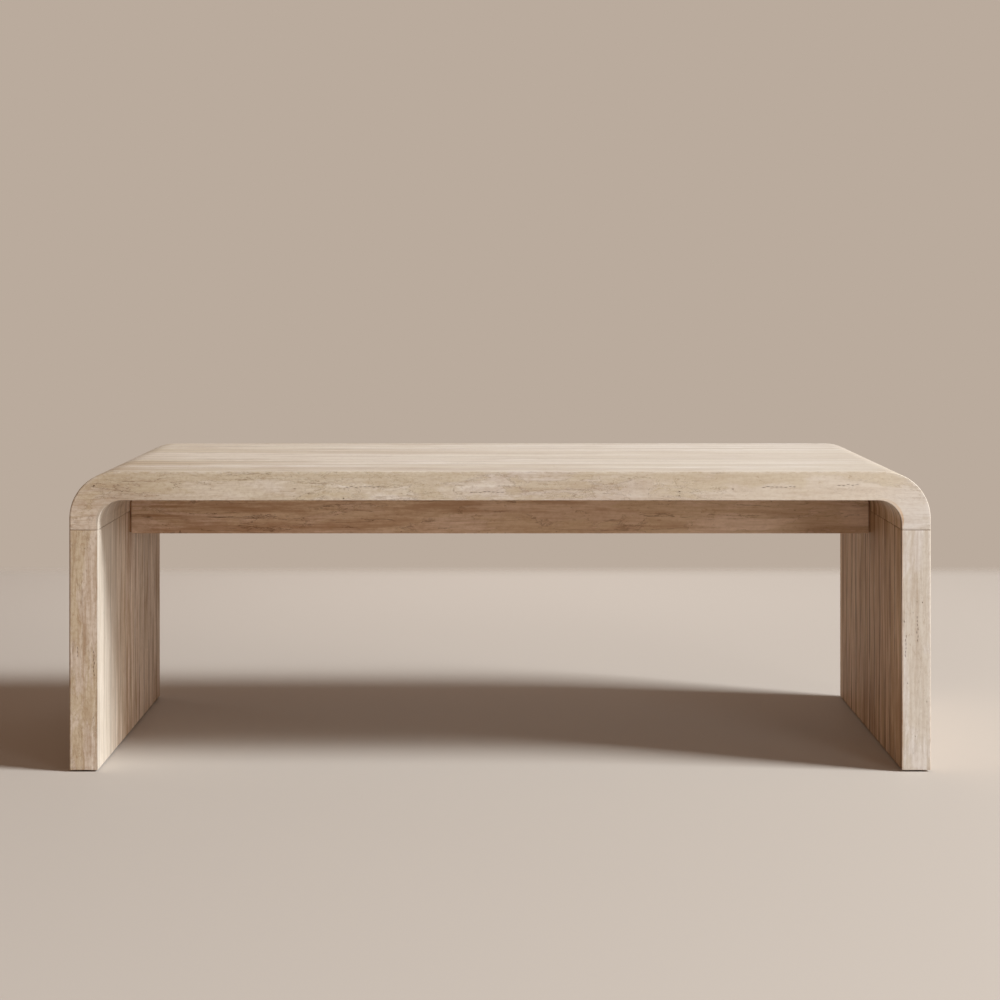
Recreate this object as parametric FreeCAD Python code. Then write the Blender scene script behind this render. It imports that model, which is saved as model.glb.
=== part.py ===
import FreeCAD, Part

# Waterfall coffee table in solid travertine.
#
# The top turns down at both ends in one piece, over a large outer radius and a
# smaller hollow cove inside, and is jointed to a plain slab leg a little below
# the curves. A stretcher hangs under the middle of the top and braces the legs.
# The stones are bedded in resin that stays behind their faces, so that every
# joint shows as a fine dark line. Ribbed steel dowels hold the legs to the top,
# ribbed steel pins hold the stretcher, and the legs stand on round glides let
# into their undersides.
#
# +X runs along the table, -Y is the front, +Z is up. The origin is on the floor
# under the middle of the table. All sizes are in millimetres.

import math
import os

from FreeCAD import Vector

# ---- Driving dimensions ------------------------------------------------------

table_length = 1200.0
table_depth = 600.0
table_height = 418.0

top_thickness = 40.0
leg_thickness = 40.0
outer_radius = 65.0          # outside of the bend between top and leg
cove_radius = 33.0           # hollow inside of the bend
seam_margin = 8.0            # straight stone between the curves and the seam

arris = 1.5                  # rounding of the exposed edges
seam_arris = 0.4             # finer bevel of the edges along a leg's seam
seam_gap = 0.6               # resin between a leg and the top
seam_setback = 1.2           # the seam's resin stays this far behind the faces

stretcher_thickness = 40.0
stretcher_drop = 75.0        # from the top's underside to the stretcher's
stretcher_end_gap = 3.0      # resin between the stretcher's end and a leg
stretcher_bed_gap = 1.0      # resin between the stretcher and the top
stretcher_setback = 2.0      # the stretcher's resin stays this far behind its faces

dowel_diameter = 12.0        # steel dowels between each leg and the top
dowel_length = 70.0
dowels_per_leg = 4
dowel_end_distance = 60.0    # from the front or back face to the nearest dowel

pin_diameter = 10.0          # steel pins between the stretcher and the top
pin_grip = 28.0              # length of a pin inside the stretcher
pin_cover = 15.0             # stone left over a pin's hole, under the table's surface
pin_count = 5
pin_end_distance = 117.0     # from the stretcher's end to the nearest pin

hole_clearance = 0.1         # all round a dowel or pin
hole_end_clearance = 0.8     # past each end of a dowel or pin
rib_pitch = 6.0              # from one groove of a dowel or pin to the next
rib_depth = 0.5
tip_bevel = 1.0

glide_inset = 5.0            # from a leg's outer and inner faces to the glide
glide_thickness = 5.0
glide_proud = 2.4            # height of the leg's underside over the floor
glide_clearance = 0.2        # all round a glide in its recess
glide_bevel = 0.6
glides_per_leg = 3
glide_end_distance = 50.0    # from the front or back face to the nearest glide's centre

# ---- Places that follow from them --------------------------------------------

half_length = table_length / 2
half_depth = table_depth / 2
inner_x = half_length - leg_thickness
leg_centre_x = half_length - leg_thickness / 2
underside_z = table_height - top_thickness
corner_drop = max(top_thickness + cove_radius, outer_radius) + seam_margin
seam_z = table_height - corner_drop

stretcher_x = inner_x - stretcher_end_gap
stretcher_top_z = underside_z - stretcher_bed_gap
stretcher_bottom_z = underside_z - stretcher_drop

glide_diameter = leg_thickness - 2 * glide_inset

SIDES = {"left": -1, "right": 1}
TINY = 1e-4


# ---- Helpers -------------------------------------------------------------------

def spread(count, first, last):
    """Evenly spaced values from first to last; a single one is in the middle."""
    if count == 1:
        return [(first + last) / 2]
    step = (last - first) / (count - 1)
    return [first + index * step for index in range(count)]


def rounded_outline(corners, y):
    """A closed face in the XZ plane at y. Each corner is (x, z, radius)."""
    starts, ends, arcs = [], [], []
    for index, (x, z, radius) in enumerate(corners):
        point = Vector(x, y, z)
        before = corners[index - 1]
        after = corners[(index + 1) % len(corners)]
        back = (Vector(before[0], y, before[1]) - point).normalize()
        ahead = (Vector(after[0], y, after[1]) - point).normalize()
        if radius == 0:
            starts.append(point)
            ends.append(point)
            arcs.append(None)
            continue
        half_angle = back.getAngle(ahead) / 2
        inward = (back + ahead).normalize()
        start = point + back * (radius / math.tan(half_angle))
        end = point + ahead * (radius / math.tan(half_angle))
        middle = point + inward * (radius / math.sin(half_angle) - radius)
        starts.append(start)
        ends.append(end)
        arcs.append(Part.Arc(start, middle, end).toShape())
    edges = []
    for index, arc in enumerate(arcs):
        if arc:
            edges.append(arc)
        following = starts[(index + 1) % len(corners)]
        if ends[index].distanceToPoint(following) > TINY:
            edges.append(Part.LineSegment(ends[index], following).toShape())
    return Part.Face(Part.Wire(edges))


def block(low, high):
    """A box between two corners."""
    size = high - low
    return Part.makeBox(size.x, size.y, size.z, low)


def edges_in(shape, test):
    """The edges whose bounding box passes the test."""
    return [edge for edge in shape.Edges if test(edge.BoundBox)]


def flat_at(box, z):
    """True for an edge that lies in the level plane at z."""
    return abs(box.ZMin - z) < TINY and abs(box.ZMax - z) < TINY


def on_face_y(box, y):
    """True for an edge that lies in the upright plane at y or at minus y."""
    return box.YMax - box.YMin < TINY and abs(abs(box.YMin) - y) < TINY


def ribbed_rod(diameter, length):
    """A steel dowel standing on the origin, with bevelled tips and V grooves."""
    radius = diameter / 2
    groove_half = rib_depth
    points = [Vector(0, 0, 0), Vector(radius - tip_bevel, 0, 0), Vector(radius, 0, tip_bevel)]
    groove_count = int((length - 2 * (tip_bevel + groove_half)) / rib_pitch)
    reach = rib_pitch * (groove_count - 1) / 2
    for z in spread(groove_count, length / 2 - reach, length / 2 + reach):
        points.append(Vector(radius, 0, z - groove_half))
        points.append(Vector(radius - rib_depth, 0, z))
        points.append(Vector(radius, 0, z + groove_half))
    points += [Vector(radius, 0, length - tip_bevel), Vector(radius - tip_bevel, 0, length)]
    points += [Vector(0, 0, length), Vector(0, 0, 0)]
    profile = Part.Face(Part.makePolygon(points))
    return profile.revolve(Vector(0, 0, 0), Vector(0, 0, 1), 360)


def rod_hole(diameter, length, place):
    """The space drilled for a rod that stands on place."""
    bottom = place - Vector(0, 0, hole_end_clearance)
    return Part.makeCylinder(diameter / 2 + hole_clearance, length + 2 * hole_end_clearance, bottom)


def placed(shape, place):
    """A copy of the shape moved to a place."""
    return shape.translated(place)


# ---- Where the rods and glides go ------------------------------------------------

dowel_ys = spread(dowels_per_leg, -half_depth + dowel_end_distance, half_depth - dowel_end_distance)
dowel_bottom_z = seam_z - seam_gap / 2 - dowel_length / 2

pin_length = top_thickness - pin_cover - hole_end_clearance + stretcher_bed_gap + pin_grip
pin_bottom_z = stretcher_top_z - pin_grip
pin_xs = spread(pin_count, -stretcher_x + pin_end_distance, stretcher_x - pin_end_distance)

glide_ys = spread(glides_per_leg, -half_depth + glide_end_distance, half_depth - glide_end_distance)


def dowel_places(side):
    return [Vector(side * leg_centre_x, y, dowel_bottom_z) for y in dowel_ys]


def pin_places():
    return [Vector(x, 0, pin_bottom_z) for x in pin_xs]


def glide_places(side):
    return [Vector(side * leg_centre_x, y, 0) for y in glide_ys]


# ---- The stones --------------------------------------------------------------------

def make_table_top():
    """The top with its two turned-down ends, drilled for the dowels and pins."""
    outline = rounded_outline([
        (-half_length, seam_z, 0),
        (-half_length, table_height, outer_radius),
        (half_length, table_height, outer_radius),
        (half_length, seam_z, 0),
        (inner_x, seam_z, 0),
        (inner_x, underside_z, cove_radius),
        (-inner_x, underside_z, cove_radius),
        (-inner_x, seam_z, 0),
    ], -half_depth)
    stone = outline.extrude(Vector(0, table_depth, 0))
    long_edges = edges_in(stone, lambda box: on_face_y(box, half_depth) and not flat_at(box, seam_z))
    stone = stone.makeFillet(arris, long_edges)
    stone = stone.makeChamfer(seam_arris, edges_in(stone, lambda box: flat_at(box, seam_z)))
    for side in SIDES.values():
        for place in dowel_places(side):
            stone = stone.cut(rod_hole(dowel_diameter, dowel_length, place))
    for place in pin_places():
        stone = stone.cut(rod_hole(pin_diameter, pin_length, place))
    return stone


def make_leg(side):
    """A slab leg with dowel holes in its top end and recesses for the glides below."""
    near_x, far_x = sorted([side * inner_x, side * half_length])
    leg_top_z = seam_z - seam_gap
    stone = block(Vector(near_x, -half_depth, glide_proud), Vector(far_x, half_depth, leg_top_z))
    stone = stone.makeFillet(arris, edges_in(stone, lambda box: not flat_at(box, leg_top_z)))
    stone = stone.makeChamfer(seam_arris, edges_in(stone, lambda box: flat_at(box, leg_top_z)))
    for place in dowel_places(side):
        stone = stone.cut(rod_hole(dowel_diameter, dowel_length, place))
    for place in glide_places(side):
        recess_radius = glide_diameter / 2 + glide_clearance
        stone = stone.cut(Part.makeCylinder(recess_radius, glide_thickness, place))
    return stone


def make_stretcher():
    """The beam under the top, its upper corners rounded to pass the coves."""
    outline = rounded_outline([
        (-stretcher_x, stretcher_bottom_z, 0),
        (-stretcher_x, stretcher_top_z, cove_radius),
        (stretcher_x, stretcher_top_z, cove_radius),
        (stretcher_x, stretcher_bottom_z, 0),
    ], -stretcher_thickness / 2)
    stone = outline.extrude(Vector(0, stretcher_thickness, 0))
    outline_edges = edges_in(stone, lambda box: on_face_y(box, stretcher_thickness / 2))
    end_edges = edges_in(stone, lambda box: flat_at(box, stretcher_bottom_z) and box.YLength > TINY)
    stone = stone.makeFillet(arris, outline_edges + end_edges)
    for place in pin_places():
        stone = stone.cut(rod_hole(pin_diameter, pin_length, place))
    return stone


# ---- The resin in the joints ---------------------------------------------------------

def make_seam_resin(side):
    """The thin bed between a leg and the top, with the dowels passing through it."""
    near_x, far_x = sorted([side * (inner_x + seam_setback), side * (half_length - seam_setback)])
    reach_y = half_depth - seam_setback
    resin = block(Vector(near_x, -reach_y, seam_z - seam_gap), Vector(far_x, reach_y, seam_z))
    for place in dowel_places(side):
        resin = resin.cut(rod_hole(dowel_diameter, dowel_length, place))
    return resin


def make_stretcher_end_resin(side):
    """The filler between the stretcher's end and a leg, up and round the cove."""
    reach_y = stretcher_thickness / 2 - stretcher_setback
    inside_x = stretcher_x - cove_radius
    outline = rounded_outline([
        (side * inner_x, stretcher_bottom_z + stretcher_setback, 0),
        (side * inner_x, underside_z, cove_radius),
        (side * inside_x, underside_z, 0),
        (side * inside_x, stretcher_top_z, 0),
        (side * stretcher_x, stretcher_top_z, cove_radius),
        (side * stretcher_x, stretcher_bottom_z + stretcher_setback, 0),
    ], -reach_y)
    return outline.extrude(Vector(0, 2 * reach_y, 0))


def make_stretcher_bed_resin():
    """The bed between the stretcher and the top's underside."""
    reach_x = stretcher_x - cove_radius
    reach_y = stretcher_thickness / 2 - stretcher_setback
    resin = block(Vector(-reach_x, -reach_y, stretcher_top_z), Vector(reach_x, reach_y, underside_z))
    for place in pin_places():
        resin = resin.cut(rod_hole(pin_diameter, pin_length, place))
    return resin


# ---- Glides ---------------------------------------------------------------------------

def make_glide():
    """A round glide standing on the origin, its foot edge bevelled."""
    disc = Part.makeCylinder(glide_diameter / 2, glide_thickness)
    return disc.makeChamfer(glide_bevel, edges_in(disc, lambda box: flat_at(box, 0)))


# ---- The whole table --------------------------------------------------------------------

def make_parts():
    """Every piece of the table by its name."""
    parts = {
        "table_top": make_table_top(),
        "stretcher": make_stretcher(),
        "stretcher_bed_resin": make_stretcher_bed_resin(),
    }
    dowel = ribbed_rod(dowel_diameter, dowel_length)
    pin = ribbed_rod(pin_diameter, pin_length)
    glide = make_glide()
    for name, side in SIDES.items():
        parts[f"{name}_leg"] = make_leg(side)
        parts[f"{name}_seam_resin"] = make_seam_resin(side)
        parts[f"{name}_stretcher_resin"] = make_stretcher_end_resin(side)
        for number, place in enumerate(dowel_places(side), start=1):
            parts[f"{name}_dowel_{number}"] = placed(dowel, place)
        for number, place in enumerate(glide_places(side), start=1):
            parts[f"{name}_glide_{number}"] = placed(glide, place)
    for number, place in enumerate(pin_places(), start=1):
        parts[f"stretcher_pin_{number}"] = placed(pin, place)
    return parts


os.makedirs("parts", exist_ok=True)
for node, shape in make_parts().items():
    shape.exportStep(f"parts/{node}.step")
    solids = len(shape.Solids)
    print(f"{node:24s} solids {solids}  valid {shape.isValid()}  volume {shape.Volume / 1000:10.2f} cm3")
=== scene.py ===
# %% [markdown]
# # A waterfall coffee table in travertine
# The table is four stones: a top that turns down at both ends, two slab legs and
# a stretcher under the top. They are bedded in dark resin, held by hidden steel
# dowels and pins, and stand on small nylon glides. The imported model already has
# every piece at its real size. This lesson gives the pieces their finish, and
# makes the stones again with what the sawn slabs have and plain solids lack:
# open pits in rows along the beds, and edges rounded by hand.

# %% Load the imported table
import math
from types import SimpleNamespace

import bpy
import numpy as np
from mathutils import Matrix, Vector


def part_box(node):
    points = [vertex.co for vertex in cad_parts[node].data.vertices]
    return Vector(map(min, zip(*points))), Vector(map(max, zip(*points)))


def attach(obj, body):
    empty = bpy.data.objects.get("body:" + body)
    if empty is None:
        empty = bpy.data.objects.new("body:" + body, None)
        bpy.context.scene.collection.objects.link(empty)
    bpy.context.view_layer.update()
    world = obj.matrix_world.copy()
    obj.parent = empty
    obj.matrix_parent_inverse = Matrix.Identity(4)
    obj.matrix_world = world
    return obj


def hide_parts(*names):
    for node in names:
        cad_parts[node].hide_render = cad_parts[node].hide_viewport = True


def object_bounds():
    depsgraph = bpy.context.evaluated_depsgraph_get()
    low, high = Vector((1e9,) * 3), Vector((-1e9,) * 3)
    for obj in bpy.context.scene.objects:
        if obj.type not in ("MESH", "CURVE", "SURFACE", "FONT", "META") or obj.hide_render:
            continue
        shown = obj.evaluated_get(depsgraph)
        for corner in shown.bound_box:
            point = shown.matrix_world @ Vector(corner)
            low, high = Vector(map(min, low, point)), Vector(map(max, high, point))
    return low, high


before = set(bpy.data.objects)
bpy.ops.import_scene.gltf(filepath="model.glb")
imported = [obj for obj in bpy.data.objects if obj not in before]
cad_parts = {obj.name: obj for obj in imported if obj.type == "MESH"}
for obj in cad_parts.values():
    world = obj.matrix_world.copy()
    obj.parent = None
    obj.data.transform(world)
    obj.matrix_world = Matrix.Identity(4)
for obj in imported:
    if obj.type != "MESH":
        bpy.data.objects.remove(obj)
cad_low, cad_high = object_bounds()
print("nodes:", len(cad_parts), " box:", [round(v, 4) for v in (*cad_low, *cad_high)])

# %% [markdown]
# ## The camera
# A long lens stands level in front of the table, above the height of the top, so
# that the verticals stay parallel. A level camera puts its horizon in the middle
# of the picture. The table lies below that, so the lens is shifted down, as on a
# view camera, and not tilted. The distance follows from how much smaller the back
# of the table looks than its front, and the lens from the width of the front.

# %% Camera
picture_width = 1000
front_width_px = 861.65
front_to_back = 1.182
horizon_px = 288.0
floor_px = 771.8
sensor_mm = 36.0

table_length = cad_high.x - cad_low.x
table_depth = cad_high.y - cad_low.y
metres_per_px = table_length / front_width_px
camera_distance = table_depth / (front_to_back - 1)
camera_height = (floor_px - horizon_px) * metres_per_px

camera_data = bpy.data.cameras.new("camera")
camera_data.sensor_width = sensor_mm
camera_data.lens = sensor_mm * front_width_px * camera_distance / table_length / picture_width
camera_data.shift_y = (horizon_px - picture_width / 2) / picture_width
camera = bpy.data.objects.new("camera", camera_data)
camera.location = (0, cad_low.y - camera_distance, camera_height)
camera.rotation_euler = (math.pi / 2, 0, 0)
bpy.context.scene.collection.objects.link(camera)
bpy.context.scene.camera = camera
print(f"lens {camera_data.lens:.1f} mm, {camera_distance:.2f} m away, {camera_height:.3f} m up")

# %% [markdown]
# ## Helpers for node materials
# A material is a small graph. `add` makes one node, sets its values and joins
# its inputs, so that each finish below reads as a short recipe.

# %% Node helpers
def add(tree, kind, inputs=None, **settings):
    """A new node. Each input is given a value, or a socket to be joined to."""
    made = tree.nodes.new(kind)
    for name, value in settings.items():
        setattr(made, name, value)
    for name, value in (inputs or {}).items():
        if isinstance(value, bpy.types.NodeSocket):
            tree.links.new(value, made.inputs[name])
        else:
            made.inputs[name].default_value = value
    return made


def maths(tree, operation, first, second=0.0):
    """One sum on two values or sockets."""
    return add(tree, "ShaderNodeMath", {0: first, 1: second}, operation=operation).outputs[0]


def vectors(tree, operation, first, second):
    """One sum on two vectors."""
    inputs = {0: first, 1: second}
    return add(tree, "ShaderNodeVectorMath", inputs, operation=operation).outputs[0]


def mix_colour(tree, factor, first, second, blend="MIX"):
    """Two colours mixed by a factor."""
    inputs = {0: factor, 6: first, 7: second}
    made = add(tree, "ShaderNodeMix", inputs, data_type="RGBA", blend_type=blend)
    return made.outputs[2]


def between(tree, value, low, high):
    """0 below low, 1 above high and a smooth climb in between."""
    inputs = {"Value": value, "From Min": low, "From Max": high}
    made = add(tree, "ShaderNodeMapRange", inputs, interpolation_type="SMOOTHSTEP")
    return made.outputs["Result"]


def new_material(name):
    """An empty node material with its shader."""
    material = bpy.data.materials.new(name)
    material.use_nodes = True
    tree = material.node_tree
    tree.nodes.clear()
    shader = add(tree, "ShaderNodeBsdfPrincipled")
    output = add(tree, "ShaderNodeOutputMaterial", {"Surface": shader.outputs[0]})
    return material, tree, shader, output


def srgb(red, green, blue):
    """A colour given in 0 to 255 steps, as the linear values that a shader takes."""
    steps = np.array([red, green, blue]) / 255
    linear = np.where(steps <= 0.04045, steps / 12.92, ((steps + 0.055) / 1.055) ** 2.4)
    return (*linear.tolist(), 1.0)


print("node helpers ready")

# %% [markdown]
# ## Floor and background
# The table stands on a plain pale floor, a disc with a finish that fades out: far
# from the table all round, and behind it where a wall would stand. Beyond it the
# world has one plain colour, the wall's, shown to the camera and in reflections.

# %% Floor and background
floor_radius = 6.0
floor_fade_from = 2.6
floor_fade_to = 5.2
wall_y = 2.04
wall_softness = 0.12
floor_colour = srgb(187, 176, 166)
floor_gloss = 0.1
floor_roughness = 0.7
wall_colour = srgb(186, 171, 157)
fill_colour = (1.0, 0.54, 0.27, 1.0)
fill_strength = 0.182

bpy.ops.mesh.primitive_circle_add(vertices=96, radius=floor_radius, fill_type="NGON",
                                  location=(0, 0, 0))
floor = bpy.context.object
floor.name = "studio_floor"

material, tree, shader, output = new_material("studio_floor")
place = add(tree, "ShaderNodeTexCoord").outputs["Object"]
distance = add(tree, "ShaderNodeVectorMath", {0: place}, operation="LENGTH").outputs["Value"]
shader.inputs["Base Color"].default_value = floor_colour
shader.inputs["Roughness"].default_value = floor_roughness
shader.inputs["Specular IOR Level"].default_value = floor_gloss
clear = add(tree, "ShaderNodeBsdfTransparent").outputs[0]
fade = between(tree, distance, floor_fade_from, floor_fade_to)
behind = add(tree, "ShaderNodeSeparateXYZ", {0: place}).outputs["Y"]
behind = between(tree, behind, wall_y - wall_softness, wall_y + wall_softness)
fade = maths(tree, "MAXIMUM", fade, behind)
mixed = add(tree, "ShaderNodeMixShader", {0: fade, 1: shader.outputs[0], 2: clear})
tree.links.new(mixed.outputs[0], output.inputs["Surface"])
floor.data.materials.append(material)

world = bpy.data.worlds.new("studio")
world.use_nodes = True
tree = world.node_tree
tree.nodes.clear()
rays = add(tree, "ShaderNodeLightPath").outputs
seen = maths(tree, "MAXIMUM", rays["Is Camera Ray"], rays["Is Glossy Ray"])
seen = maths(tree, "MAXIMUM", seen, rays["Is Transmission Ray"])
fill = add(tree, "ShaderNodeBackground", {"Color": fill_colour, "Strength": fill_strength})
backdrop = add(tree, "ShaderNodeBackground", {"Color": wall_colour, "Strength": 1.0})
both = add(tree, "ShaderNodeMixShader", {0: seen, 1: fill.outputs[0], 2: backdrop.outputs[0]})
add(tree, "ShaderNodeOutputWorld", {"Surface": both.outputs[0]})
bpy.context.scene.world = world
bpy.context.scene.view_settings.view_transform = "Standard"
print("stage made")

# %% [markdown]
# ## Lights
# One large soft panel stands far off to the right, a little in front and well
# above the table. Far away, it lights the whole length almost evenly and draws
# the shadow to the left. A low one to the right reaches under the top to the left
# leg's inner side, and one in front on the right lifts the front. Weak ones at the
# front left, behind the table and at the rear left keep the other sides and the
# floor there out of the dark. The world adds a little warmth.

# %% Lights
def panel(name, place, target, size, watts, colour=(1, 1, 1), seen=False):
    """A square area lamp turned to face a target. seen shows it to the camera."""
    data = bpy.data.lights.new(name, "AREA")
    data.size = size
    data.energy = watts
    data.color = colour
    lamp = bpy.data.objects.new(name, data)
    lamp.location = place
    direction = Vector(target) - Vector(place)
    lamp.rotation_euler = direction.to_track_quat("-Z", "Y").to_euler()
    lamp.visible_camera = seen
    bpy.context.scene.collection.objects.link(lamp)


panel("key_panel", (9.1, -2.93, 6.8), target=(0, 0, 0.3), size=3.4, watts=2290,
      colour=(0.875, 0.955, 1.0), seen=True)
panel("side_panel", (3.8, -1.5, 0.8), target=(0.0, -0.2, 0.25), size=0.8, watts=40,
      colour=(1.0, 0.95, 0.9))
panel("front_panel", (2.0, -3.6, 0.9), target=(0.1, -0.3, 0.25), size=1.0, watts=25,
      colour=(0.93, 0.98, 1.0))
panel("left_panel", (-1.5, -2.1, 0.6), target=(-0.4, -0.3, 0.25), size=0.8, watts=2.5,
      colour=(1.0, 0.98, 0.94))
panel("rear_panel", (0.0, 2.0, 1.0), target=(0, 1.9, 0), size=1.6, watts=6)
panel("back_panel", (-3.4, 2.4, 0.7), target=(-0.3, 0.2, 0.2), size=1.0, watts=11,
      colour=(1.0, 0.98, 0.95))
print("lamps made:", len(bpy.data.lights))

# %% [markdown]
# ## Slabs as swept sections
# Each stone is one closed section carried along two matching lines, one on its
# outer face and one on its inner face, so that a bend can have a large radius
# outside and a smaller one inside. The result is a grid of cells over the whole
# stone, and a pit can be opened in any.

# %% Lines of the stones
def arc(centre, radius, start, stop, count):
    """Points on a circle in x and z. Angles are in degrees from +x towards +z, stop left out."""
    angle = np.radians(np.linspace(start, stop, count, endpoint=False))[:, None]
    return np.array(centre) + radius * np.hstack([np.cos(angle), np.sin(angle)])


def straight(start, stop, count):
    """Even points from start to stop, with stop left out."""
    start, stop = np.array(start), np.array(stop)
    return start + (stop - start) * np.linspace(0, 1, count, endpoint=False)[:, None]


def mirrored(half, middle):
    """The left half of a line, its middle point, and the mirror image of the half."""
    return np.vstack([half, [middle], half[::-1] * (-1, 1)])


def turned_down(half_length, top_z, radius, foot_z, counts):
    """One line of the top: up the end, a quarter circle, then the flat, mirrored."""
    corner = (radius - half_length, top_z - radius)
    rise = straight((-half_length, foot_z), (-half_length, corner[1]), counts[0])
    bend = arc(corner, radius, 180, 90, counts[1])
    run = straight((corner[0], top_z), (0, top_z), counts[2])
    return mirrored(np.vstack([rise, bend, run]), (0, top_z))


def eased_start(outer, inner, inset, radius, steps=4):
    """Rings added before the first. Each is further out and smaller by a quarter circle."""
    angle = np.linspace(0, np.pi / 2, steps, endpoint=False)
    along = (inner[0] - inner[1]) / np.linalg.norm(inner[0] - inner[1])
    out = radius * np.cos(angle)[:, None] * along
    shrink = radius * (1 - np.sin(angle))
    outer, inner = (np.vstack([line[0] + out, line]) for line in (outer, inner))
    return outer, inner, np.append(shrink, inset)


def eased(outer, inner, start_radius, end_radius):
    """Both ends of a pair of lines eased, each by its own radius."""
    lines = eased_start(outer, inner, np.zeros(len(outer)), start_radius)
    outer, inner, inset = (values[::-1] for values in lines)
    outer, inner, inset = eased_start(outer, inner, inset, end_radius)
    return outer[::-1], inner[::-1], inset[::-1]


print("line helpers ready")

# %% [markdown]
# ## A section with hand-eased corners
# A mason eases a sawn edge with a diamond pad, so its radius wanders, and here
# and there a grain has broken out. The four corner radii therefore differ from
# ring to ring, and the outer edges, which hands and shoes meet, are eased more
# at the ends of the table than along the top. A narrow strip beside each corner
# keeps the flat faces flat when the stone is shaded smooth.

# %% Rings of the section
corner_steps = 4
strip = 0.0003
fine_arris = 0.0006
end_arris = 0.0012
end_from, end_to = 0.52, 0.59
radius_drift = 0.3
chip_chance = 0.015
chip_sizes = (0.2, 0.7)
random = np.random.default_rng(4742)


def wander(count, knots):
    """Random values from 0 to 1, with straight blends between a few knots."""
    return np.interp(np.linspace(0, knots - 1, count), np.arange(knots), random.random(knots))


def corner_radii(outer_x):
    """Four radii for each ring, wandering about their mean, with a few chips."""
    rings = len(outer_x)
    mean = np.full((4, rings), fine_arris)
    mean[0] = mean[3] = np.interp(np.abs(outer_x), (end_from, end_to), (fine_arris, end_arris))
    drift = np.array([wander(rings, rings // 5) for _ in range(4)])
    radii = mean * (1 - radius_drift / 2 + radius_drift * drift)
    chips = random.random((4, rings)) < chip_chance
    return radii + chips * mean * random.uniform(*chip_sizes, (4, rings))


def section_rings(outer, inner, inset, half_width, radii, counts):
    """A swept rectangle with round corners, as an array of rings, places and six numbers.

    The numbers are x, y and z, then the flow: how far along the stone a point is,
    how far across it and how deep, from the outer line to the inner one. A corner
    is a quarter circle: y and depth change by radius times sine and cosine.
    """
    def column(values):
        return np.asarray(values)[:, None]

    def even(length, count):
        return strip + np.linspace(0, 1, count + 1) * column(length - 2 * strip)

    thickness = np.linalg.norm(inner - outer, axis=1)
    width, depth = half_width - inset, thickness - inset
    first, second, third, fourth = radii
    turn = np.linspace(0, np.pi / 2, corner_steps + 1)
    rise, fall = np.sin(turn), 1 - np.cos(turn)
    wide, deep = counts
    face = even(2 * width - fourth - first, wide)
    parts = [(column(fourth - width) + face, column(inset) + 0 * face)]
    parts.append((column(width - first) + column(first) * rise,
                  column(inset) + column(first) * fall))
    face = even(depth - inset - first - second, deep)
    parts.append((column(width) + 0 * face, column(inset + first) + face))
    parts.append((column(width) - column(second) * fall,
                  column(depth - second) + column(second) * rise))
    face = even(2 * width - second - third, wide)
    parts.append((column(width - second) - face, column(depth) + 0 * face))
    parts.append((column(third - width) - column(third) * rise,
                  column(depth) - column(third) * fall))
    face = even(depth - inset - third - fourth, deep)
    parts.append((column(-width) + 0 * face, column(depth - third) - face))
    parts.append((column(-width) + column(fourth) * fall,
                  column(inset + fourth) - column(fourth) * rise))
    y, d = (np.hstack([part[axis] for part in parts]) for axis in (0, 1))
    labels = []
    for label, cells in (("outer", wide), ("side", deep), ("inner", wide), ("side", deep)):
        labels += [label] * cells + [""] * (corner_steps + 2)
    towards = (inner - outer) / column(thickness)
    x = column(outer[:, 0]) + column(towards[:, 0]) * d
    z = column(outer[:, 1]) + column(towards[:, 1]) * d
    steps = np.linalg.norm(np.diff((outer + inner) / 2, axis=0), axis=1)
    along = column(np.append(0, np.cumsum(steps))) + 0 * d
    return np.stack([x, y, z, along, y, d], axis=2), np.array(labels)


print("section ready")

# %% [markdown]
# ## Pits
# Travertine is full of small cavities, drawn out along its beds. Each one here
# opens inside one cell of the grid: an uneven rim of twelve points, a wall that
# narrows, and a deepest point. The cell's own four corners stay, so the surface
# stays closed.

# %% Pits opened in cells
rim_points = 12
rim_ripple = 0.35
lower_loop = (0.45, 0.4)
loop_drop = (0.4, 0.5)
last_drop = 0.4


def pit_points(corners, size, centre, depth):
    """Rim, lower loop and deepest point of each pit, 25 points of six numbers.

    In a cell, u and v run from 0 to 1 between its corners. The rim is an ellipse
    in u and v whose radius wanders, placed by blending the four corners.
    """
    count = len(corners)
    angle = np.arange(rim_points) / rim_points * 2 * np.pi
    ripple = 1 - rim_ripple * random.random((count, rim_points))
    lower = lower_loop[0] + lower_loop[1] * random.random((count, rim_points))
    loops = []
    for scale in (ripple, ripple * lower):
        u = centre[:, :1] + size[:, :1] * scale * np.cos(angle)
        v = centre[:, 1:] + size[:, 1:] * scale * np.sin(angle)
        weights = np.stack([(1 - u) * (1 - v), u * (1 - v), u * v, (1 - u) * v], axis=2)
        loops.append(weights @ corners)
    diagonals = corners[:, 2:, :3] - corners[:, :2, :3]
    normal = np.cross(diagonals[:, 0], diagonals[:, 1])
    normal /= np.linalg.norm(normal, axis=1, keepdims=True)
    drop = np.hstack([depth[:, None] * normal, 0 * normal])
    fallen = loop_drop[0] + loop_drop[1] * random.random((count, rim_points, 1))
    loops[1] = loops[1] - drop[:, None] * fallen
    lowest = loops[1].mean(axis=1, keepdims=True) - last_drop * drop[:, None]
    return np.concatenate([loops[0], loops[1], lowest], axis=1)


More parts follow.
